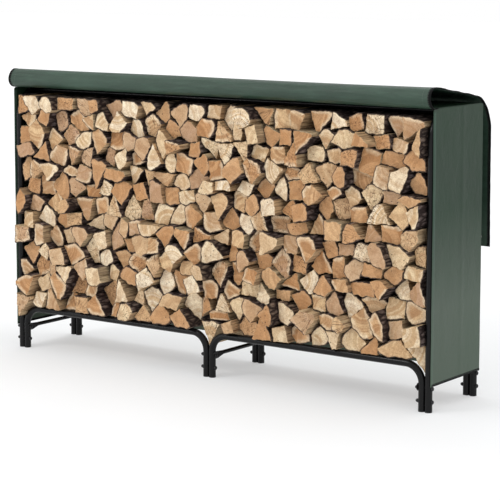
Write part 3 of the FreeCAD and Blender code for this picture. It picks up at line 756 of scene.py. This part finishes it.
def curtain_tape(side, sign, line, x_edge):
    """Tape folded over a side edge of the curtain: a flat loop whose outer side is round."""
    section = [(-TAPE_WIDTH, HALF_TAPED * 0.9), (-TAPE_WIDTH + 0.0006, HALF_TAPED), (-0.0008, HALF_TAPED)]
    section += [(TAPE * math.sin(a), HALF_TAPED * math.cos(a)) for a in (0.5, 1.0, 1.57, 2.14, 2.64)]
    section += [(-0.0008, -HALF_TAPED), (-TAPE_WIDTH + 0.0006, -HALF_TAPED), (-TAPE_WIDTH, -HALF_TAPED * 0.9)]
    rows = []
    for along, y, z, heading in line.stops:
        row = []
        for across, off in section:
            x = x_edge + sign * across
            point = Vector((x, y, z)) + outward(heading) * (curtain_lift(x, along) + off)
            row.append((point, (x, along, 0.0)))
        rows.append(row)
    return strip_mesh("curtain_tape_%s" % side, rows, sign < 0)


def stitch(builder, a, b, out):
    """One visible stitch from a to b, a low rounded bar that stands out of the cloth."""
    ahead = b - a
    side = ahead.cross(out).normalized() * STITCH_WIDTH * 0.5
    rise = out * STITCH_WIDTH * 0.42
    angles = [math.pi / 3 * k for k in range(6)]
    rows = []
    for part, swell in ((0.0, 0.25), (0.2, 0.9), (0.5, 1.0), (0.8, 0.9), (1.0, 0.25)):
        centre = a + ahead * part
        rows.append([centre + (side * math.cos(t) + rise * math.sin(t)) * swell for t in angles])
    builder.skin(rows)


def stitch_run(builder, place, length):
    """Stitches along a seam; place gives the point and the outward direction at a distance."""
    for i in range(int(length / STITCH_PITCH)):
        a, out = place(i * STITCH_PITCH)
        b, _ = place(i * STITCH_PITCH + STITCH)
        stitch(builder, a, b, out)


def seam_along(line, x, lift, face=1, over=0.0):
    """Seam down a sheet at a fixed X, on its outer face or, with -1, its inner, over a trim's thickness."""
    def place(distance):
        y, z, heading = line.at(distance)
        normal = outward(heading)
        return Vector((x, y, z)) + normal * (lift(x, distance) + face * (CLOTH / 2 + over)), normal * face
    return place


def hem_seam(line, start_x, lift, face=1):
    """Seam across a sheet at the top of its lower hem."""
    def place(distance):
        return seam_along(line, start_x + distance, lift, face)(line.length - HEM_WIDTH)
    return place


def curtain_stitches(line, half):
    """Two seams beside each side edge and one above the hem, on both faces."""
    stitches = Builder()
    for sign in (-1, 1):
        for inset, over in ((TAPE_WIDTH - 0.0025, TAPE), (TAPE_WIDTH + 0.022, 0.0)):
            for face in (1, -1):
                seam = seam_along(line, sign * (half - inset), curtain_lift, face, over)
                stitch_run(stitches, seam, line.length - 0.004)
    for face in (1, -1):
        stitch_run(stitches, hem_seam(line, -half + 0.02, curtain_lift, face), 2 * half - 0.04)
    return stitches.done("curtain_stitches")


def make_curtain():
    line, fold_start, fold_end = curtain_line()
    half = curtain_box[HIGH].x
    sheet = sheet_mesh("curtain_sheet", line, spread(-half, half, 150), curtain_lift)
    finish_piece(sheet, None, "cover_fabric", CURTAIN_FABRIC, replaces=["curtain", "curtain_flap"])
    trim = []
    for side, sign in (("left", -1), ("right", 1)):
        tape = curtain_tape(side, sign, line, sign * half)
        trim.append(finish_piece(tape, None, "binding_tape", TAPE_BLACK,
                                 replaces=["curtain_binding_%s" % side, "flap_binding_%s" % side]))
    trim.append(finish_piece(curtain_stitches(line, half), None, "binding_tape", THREAD))
    for piece in (sheet, *trim):
        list(fold_start)
        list(fold_end)
        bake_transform(piece)
    return line


def back_lift(x, along):
    return soft_noise(x * 2.2, along * 2.6, 3.3) * 0.0018 + 0.0008 * soft_noise(x * 11.0, along * 9.0, 5.5)


def top_lift(x, along):
    return 0.0006 * soft_noise(x * 3.0, along * 6.0, 8.8)


def make_back_and_top():
    half = back_box[HIGH].x - 0.0004
    xs = spread(-half, half, 130)
    line = SheetLine(back_box[LOW].y, back_box[HIGH].z - CAD_CLOTH / 2, 0.0)
    line.bend(CORNER, -90.0, 10).run(line.z - back_box[LOW].z, 60)
    back = sheet_mesh("cover_back_sheet", line, xs, back_lift)
    stitches = Builder()
    for sign in (-1, 1):
        stitch_run(stitches, seam_along(line, sign * (half - 0.008), back_lift), line.length - 0.004)
    stitch_run(stitches, hem_seam(line, -half + 0.01, back_lift), 2 * half - 0.02)
    finish_piece(back, "cover", "cover_fabric", FABRIC, replaces=["cover_back"])
    sewn = finish_piece(stitches.done("cover_back_stitches"), "cover", "binding_tape", THREAD)
    top_line = SheetLine(top_box[LOW].y, top_box[LOW].z + CAD_CLOTH / 2, 0.0)
    top_line.run(top_box[HIGH].y - top_box[LOW].y, 20)
    top = sheet_mesh("cover_top_sheet", top_line, xs, top_lift)
    finish_piece(top, "cover", "cover_fabric", FABRIC, replaces=["cover_top"])


def panel_half_width(z):
    """Half the side panel's width at a height: straight, with small round corners at the top."""
    low, high = side_box
    drop = max(0.0, z - (high.z - PANEL_CORNER))
    return (high.y - low.y) / 2 - PANEL_CORNER + math.sqrt(max(0.0, PANEL_CORNER ** 2 - drop ** 2))


def panel_lift(y, z):
    """How far a side panel stands off its plane: nearly flat, with a soft crease and slight waves."""
    crease = 0.0012 * math.exp(-((y - 0.035) / 0.012) ** 2)
    waves = 0.0016 * (0.5 + soft_noise(y * 5.0, z * 2.4, 7.7))
    return crease + waves + 0.0007 * (0.5 + soft_noise(y * 16.0, z * 9.0, 1.1))


class Panel:
    """A side panel of the cover, with its hem, tape and stitches."""

    def __init__(self, side, sign):
        self.side, self.sign = side, sign
        self.low, self.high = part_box("cover_side_%s" % side)
        self.plane = min(abs(self.low.x), abs(self.high.x)) + CLOTH / 2 + 0.0002
        self.half = panel_half_width(self.low.z)
        self.hem_top = self.high.z - CORNER

    def point(self, y, z, off):
        """A point that stands off the middle of the cloth, to the outside."""
        return Vector((self.sign * (self.plane + panel_lift(y, z) + off), y, z))

    def sheet(self):
        corner_z = self.high.z - PANEL_CORNER
        zs = spread(self.low.z, corner_z, 84)
        zs += [corner_z + PANEL_CORNER * math.sin(math.pi / 2 * i / 6) for i in range(1, 7)]
        faces = [[[self.point(u * panel_half_width(z), z, off) for u in spread(-1.0, 1.0, 40)] for z in zs]
                 for off in (CLOTH / 2 * self.sign, -CLOTH / 2 * self.sign)]
        builder = Builder()
        builder.shell(*faces)
        places = [(p.y, p.z, 0.0) for p in builder.points]
        return cloth_piece(builder, "cover_side_%s_sheet" % self.side, places)

    def hem(self):
        """The turned hem along the front edge."""
        section = [(0.0002, 0.0)] + mirrored([(0.0, HALF_HEM * 0.7), (0.0008, HALF_HEM),
                                              (HEM_WIDTH - 0.0006, HALF_HEM), (HEM_WIDTH, HALF_HEM * 0.5)])
        rows = [[(self.point(across - self.half, z, off), (across, z, 0.0)) for across, off in section]
                for z in spread(self.low.z, self.hem_top, 80)]
        return strip_mesh("side_hem_%s" % self.side, rows, self.sign > 0)

    def bottom_tape(self):
        height = 0.010
        section = mirrored([(0.0, HALF_TAPED * 0.5), (0.0006, HALF_TAPED), (height - 0.0006, HALF_TAPED),
                            (height, HALF_TAPED * 0.5)])
        rows = [[(self.point(y, self.low.z - TAPE / 2 + up, off), (y, up, 0.0)) for up, off in section]
                for y in spread(-self.half + HEM_WIDTH * 0.2, self.half, 40)]
        return strip_mesh("side_bottom_tape_%s" % self.side, rows, self.sign < 0)

    def stitches(self):
        """A seam beside the hem's inner edge and one along the bottom tape."""
        out = Vector((self.sign, 0, 0))
        front_y, front_z = -self.half + HEM_WIDTH - 0.003, self.low.z + 0.012
        bottom_y, bottom_z = -self.half + 0.004, self.low.z + 0.0065
        stitches = Builder()
        stitch_run(stitches, lambda d: (self.point(front_y, front_z + d, HALF_HEM), out),
                   self.hem_top - front_z)
        stitch_run(stitches, lambda d: (self.point(bottom_y + d, bottom_z, HALF_TAPED), out),
                   2 * self.half - 0.012)
        return stitches.done("side_stitches_%s" % self.side)


def make_side_panels():
    for side, sign in (("left", -1), ("right", 1)):
        panel = Panel(side, sign)
        sheet = finish_piece(panel.sheet(), "cover", "cover_fabric", FABRIC,
                             replaces=["cover_side_%s" % side])
        trim = [finish_piece(panel.hem(), "cover", "cover_fabric", HEM_FABRIC),
                finish_piece(panel.bottom_tape(), "cover", "binding_tape", TAPE_BLACK),
                finish_piece(panel.stitches(), "cover", "binding_tape", THREAD)]


# ---------------- firewood

END, SPLIT, BARK = 0, 1, 2
POINT_PITCH = 0.0050
GROWTH = 0.0036            # the logs as they show are this much fuller than their CAD outlines
END_SHARES = (0.0, 0.4, 0.75, 0.9, 1.0)                     # rings of a sawn end, from its middle to its rim
LEVELS = (0.0018, 0.006, 0.013, 0.024, 0.040, 0.062, 0.095, 0.15, 0.22, 0.30)   # rings behind the front end
LEAN_DEPTH = 0.05          # how deep the tilt of the front end reaches into the sides' rings


def outline_of(solid):
    """The corners of a log's front end, counter-clockwise as (x, z), and its front and rear Y."""
    front, rear = solid[:, 1].min(), solid[:, 1].max()
    corners = solid[solid[:, 1] < front + 1e-4][:, [0, 2]]
    middle = corners.mean(axis=0)
    angles = np.arctan2(corners[:, 1] - middle[1], corners[:, 0] - middle[0])
    return corners[np.argsort(angles)], front, rear


def side_kinds(corners, draw):
    """Which sides carry bark: the bowed run of sides, or now and then one side of a squared piece."""
    count = len(corners)
    ahead = np.roll(corners, -1, axis=0) - corners
    headings = np.arctan2(ahead[:, 1], ahead[:, 0])
    turn = (np.roll(headings, -1) - headings + math.pi) % (2 * math.pi) - math.pi
    bowed = [i for i in range(count) if turn[i] < math.radians(38)]
    kinds = [SPLIT] * count
    for i in bowed:
        kinds[i] = BARK
        kinds[(i + 1) % count] = BARK
    if not bowed and draw.random() < 0.6:
        kinds[draw.randrange(count)] = BARK
    return kinds


def mitre(before, corner, after):
    """The direction in which a corner moves when both its sides move out by one."""
    sides = []
    for a, b in ((before, corner), (corner, after)):
        length = math.hypot(*(b - a))
        sides.append(np.array((b[1] - a[1], a[0] - b[0])) / length)
    out = (sides[0] + sides[1]) / (1 + float(sides[0] @ sides[1]))
    return out / max(1.0, math.hypot(*out) / 1.6)


def log_ring(corners, kinds):
    """Points round a log's section, with their outward directions and the kind of side they lie on."""
    points, normals, sides = [], [], []
    count = len(corners)
    for i in range(count):
        a, b = corners[i], corners[(i + 1) % count]
        length = math.hypot(*(b - a))
        steps = max(2, round(length / POINT_PITCH))
        normal = np.array((b[1] - a[1], a[0] - b[0])) / length
        for k in range(steps):
            points.append(a + (b - a) * k / steps)
            normals.append(normal if k else mitre(corners[i - 1], a, b))
            sides.append(kinds[i])
    points = np.array(points)
    normals = np.array(normals)
    rounded = (np.roll(points, 1, axis=0) + 6 * points + np.roll(points, -1, axis=0)) / 8
    return rounded, normals, sides


def relief(x, y, z, kind, seed):
    """How deep a log's side is cut in at a point: fibres and torn steps, or the furrows of bark."""
    wobble = 0.0046 * (0.5 + soft_noise(x * 42, y * 1.6, z * 42 + seed))
    wobble += 0.0018 * soft_noise(x * 130, y * 6.0, z * 130 + seed)
    if kind == BARK:
        furrow = abs(soft_noise(x * 55, y * 12, z * 55 + seed))
        return wobble + 0.0030 * furrow + 0.0010 * (0.5 + soft_noise(x * 160, y * 60, z * 160)) - GROWTH
    torn = 0.5 + soft_noise(x * 90, y * 5.0, z * 90 + seed)
    fibre = 0.5 + soft_noise(x * 260, y * 8.0, z * 260)
    return wobble + 0.0022 * torn + 0.0011 * fibre - GROWTH


class Log:
    """One split log: its section, barked sides, heart, tone and tilted ends, partly drawn by chance."""

    def __init__(self, solid, draw):
        corners, self.front, self.rear = outline_of(solid)
        self.points, self.normals, self.sides = log_ring(corners, side_kinds(corners, draw))
        self.middle = self.points.mean(axis=0)
        self.seed = draw.uniform(0, 50)
        self.heart = self.place_heart(corners, draw)
        self.tone = (draw.random(), draw.random(), draw.random(), 1.0)
        self.lean = np.array((draw.uniform(-0.20, 0.20), draw.uniform(-0.16, 0.16)))
        self.lean_room = float(np.abs(self.lean) @ np.abs(self.points - self.middle).max(axis=0))
        self.wear = [0.0007 + 0.0008 * draw.random() for _ in ("front", "rear")]

    def place_heart(self, corners, draw):
        """The tree's heart: at the corner away from the bark, or outside a piece that has none."""
        barked = [point for point, kind in zip(self.points, self.sides) if kind == BARK]
        if not barked:
            corner = corners[draw.randrange(len(corners))]
            return self.middle + (self.middle - corner) * draw.uniform(0.6, 1.8)
        bark_middle = np.mean(barked, axis=0)
        distances = [np.hypot(*(corner - bark_middle)) for corner in corners]
        return corners[int(np.argmax(distances))] + (self.middle - bark_middle) * draw.uniform(-0.1, 0.5)

    def set_back(self, x, z):
        """How far a tilted end lies behind its CAD face at a place."""
        tilt = self.lean[0] * (x - self.middle[0]) + self.lean[1] * (z - self.middle[1])
        return max(0.0, tilt + self.lean_room)

    def section(self, y, shrink=0.0):
        """Points round the log at a Y, cut in by its relief."""
        row = []
        for (x, z), normal, kind in zip(self.points, self.normals, self.sides):
            depth = relief(x, y, z, kind, self.seed) + shrink
            row.append((x - normal[0] * depth, y, z - normal[1] * depth))
        return row

    def end_rings(self, face, inward, wear):
        """Rings of a sawn end, from its middle to its worn rim."""
        rim = self.section(face + inward * LEVELS[0], wear)
        rows = []
        for share in END_SHARES:
            sink = 0.0 if share < 1 else 0.0008
            row = []
            for x, _, z in rim:
                px, pz = self.middle + (np.array((x, z)) - self.middle) * share
                rough = max(0.0, 0.0016 * (0.5 + soft_noise(px * 60, face * 3, pz * 60)))
                row.append((px, face + inward * (self.set_back(px, pz) + sink + rough), pz))
            rows.append(row)
        return rows

    def side_rings(self, front_rim, rear_rim):
        """Rings along the sides, closer together near the front, where they are seen."""
        rows = [front_rim]
        for level in LEVELS:
            lean = max(0.0, 1 - level / LEAN_DEPTH)
            section = self.section(self.front + level)
            rows.append([(x, y + self.set_back(x, z) * lean, z) for x, y, z in section])
        rows.append(self.section(self.front + (self.rear - self.front) * 0.9))
        rows.append([(x, y - self.set_back(x, z), z) for x, y, z in self.section(self.rear - LEVELS[0])])
        rows.append(rear_rim)
        return rows

    def add_to(self, builder, attributes):
        """Adds the log's faces, and for each point its place from the heart, its tone and its rim share."""
        front = self.end_rings(self.front, 1, self.wear[0])
        rear = self.end_rings(self.rear, -1, self.wear[1])
        sides = self.side_rings(front[-1], rear[-1])
        first, count = len(builder.points), len(self.points)
        builder.grid([list(reversed(row)) for row in front], closed=True, slot=END)
        builder.grid(rear, closed=True, slot=END)
        start = len(builder.faces)
        builder.grid([list(reversed(row)) for row in sides], closed=True, slot=SPLIT)
        for k in range(start, len(builder.faces)):
            builder.slots[k] = self.sides[count - 2 - (k - start) % count]
        barked = [float(kind == BARK) for kind in self.sides]
        for row in (barked[::-1], barked):
            attributes["rim"].extend((share, bark, 0.0, 1.0) for share in END_SHARES for bark in row)
        attributes["rim"].extend([(1.0, 0.0, 0.0, 1.0)] * (len(sides) * count))
        for x, _, z in builder.points[first:]:
            attributes["pith"].append((x - self.heart[0], self.seed * 0.001, z - self.heart[1]))
            attributes["tone"].append(self.tone)


def make_firewood():
    draw = random.Random(20)
    for node in sorted(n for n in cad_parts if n.startswith("firewood_row_")):
        builder = Builder()
        attributes = {"pith": [], "tone": [], "rim": []}
        for solid in solids_of(node):
            Log(solid, draw).add_to(builder, attributes)
        piece = builder.done(node.replace("firewood_row", "logs_row"), 38)
        for name, values in attributes.items():
            add_attribute(piece, name, values, "vector" if name == "pith" else "color")
        finish_piece(piece, "firewood", "split_wood", *WOOD, replaces=[node])


# ---------------- stage, light and camera

def make_stage():
    floor = new_mesh("floor", [(-40, -40, 0), (40, -40, 0), (40, 40, 0), (-40, 40, 0)], [(0, 1, 2, 3)])
    s = Shader("floor_paint_and_glow", Roughness=0.9, Specular_IOR_Level=0.1)
    cloud = s.noise(s.coordinates, 0.6, 3.0)
    s.set("Base Color", s.ramp(cloud, (0.3, (0.478, 0.485, 0.492, 1)), (0.7, (0.498, 0.505, 0.512, 1))))
    # The floor glows: painted light that lifts its shadows, stronger away from the middle.
    s.set("Emission Color", (1.0, 1.0, 1.0, 1.0))
    reach = s.add("VectorMath", {0: s.coordinates}, "Value", operation="LENGTH")
    s.set("Emission Strength", s.ramp(s.math("MULTIPLY", reach, 0.1), (0.12, 0.42), (0.55, 0.60)))
    floor.data.materials.append(s.material)


def area_light(name, place, target, size, power, colour=(1.0, 1.0, 1.0)):
    data = bpy.data.lights.new(name, "AREA")
    data.shape = "RECTANGLE"
    data.size, data.size_y = size
    data.energy = power
    data.color = colour
    light = bpy.data.objects.new(name, data)
    light.location = place
    light.rotation_euler = (Vector(target) - Vector(place)).to_track_quat("-Z", "Y").to_euler()
    bpy.context.scene.collection.objects.link(light)


def make_light():
    world = bpy.data.worlds.new("studio")
    bpy.context.scene.world = world
    world.use_nodes = True
    background = world.node_tree.nodes["Background"]
    background.inputs[0].default_value = (1.0, 1.0, 1.0, 1.0)
    background.inputs[1].default_value = 1.0
    area_light("key", (-2.2, -4.6, 4.6), (0.0, 0.0, 0.6), (1.5, 1.1), 78.0, (1.0, 0.990, 0.976))
    area_light("side", (5.2, -1.6, 2.6), (0.6, 0.0, 0.7), (0.5, 2.2), 4.0)
    area_light("strip", (-3.6, -4.4, 0.9), (0.3, 0.0, 0.6), (0.25, 2.4), 20.0)
    area_light("top", (0.4, 0.6, 4.4), (0.0, 0.0, 1.0), (4.0, 1.0), 40.0)


def make_camera():
    """A long lens a little above the rack, to the right of its front."""
    data = bpy.data.cameras.new("camera")
    data.lens = 133.3
    data.sensor_width = 36.0
    data.shift_y = -0.120
    camera = bpy.data.objects.new("camera", data)
    camera.location = (4.4005, -5.9299, 1.6342)
    camera.rotation_euler = (math.pi / 2 - 0.1212, 0.0, 0.6298)
    bpy.context.scene.collection.objects.link(camera)
    bpy.context.scene.camera = camera
    bpy.context.scene.view_settings.view_transform = "Standard"


make_tubes()
make_bolts()
make_nuts()
make_caps()
dress_cad_nodes()
make_back_and_top()
make_side_panels()
make_eyelets(make_curtain())
make_firewood()
make_stage()
make_light()
make_camera()
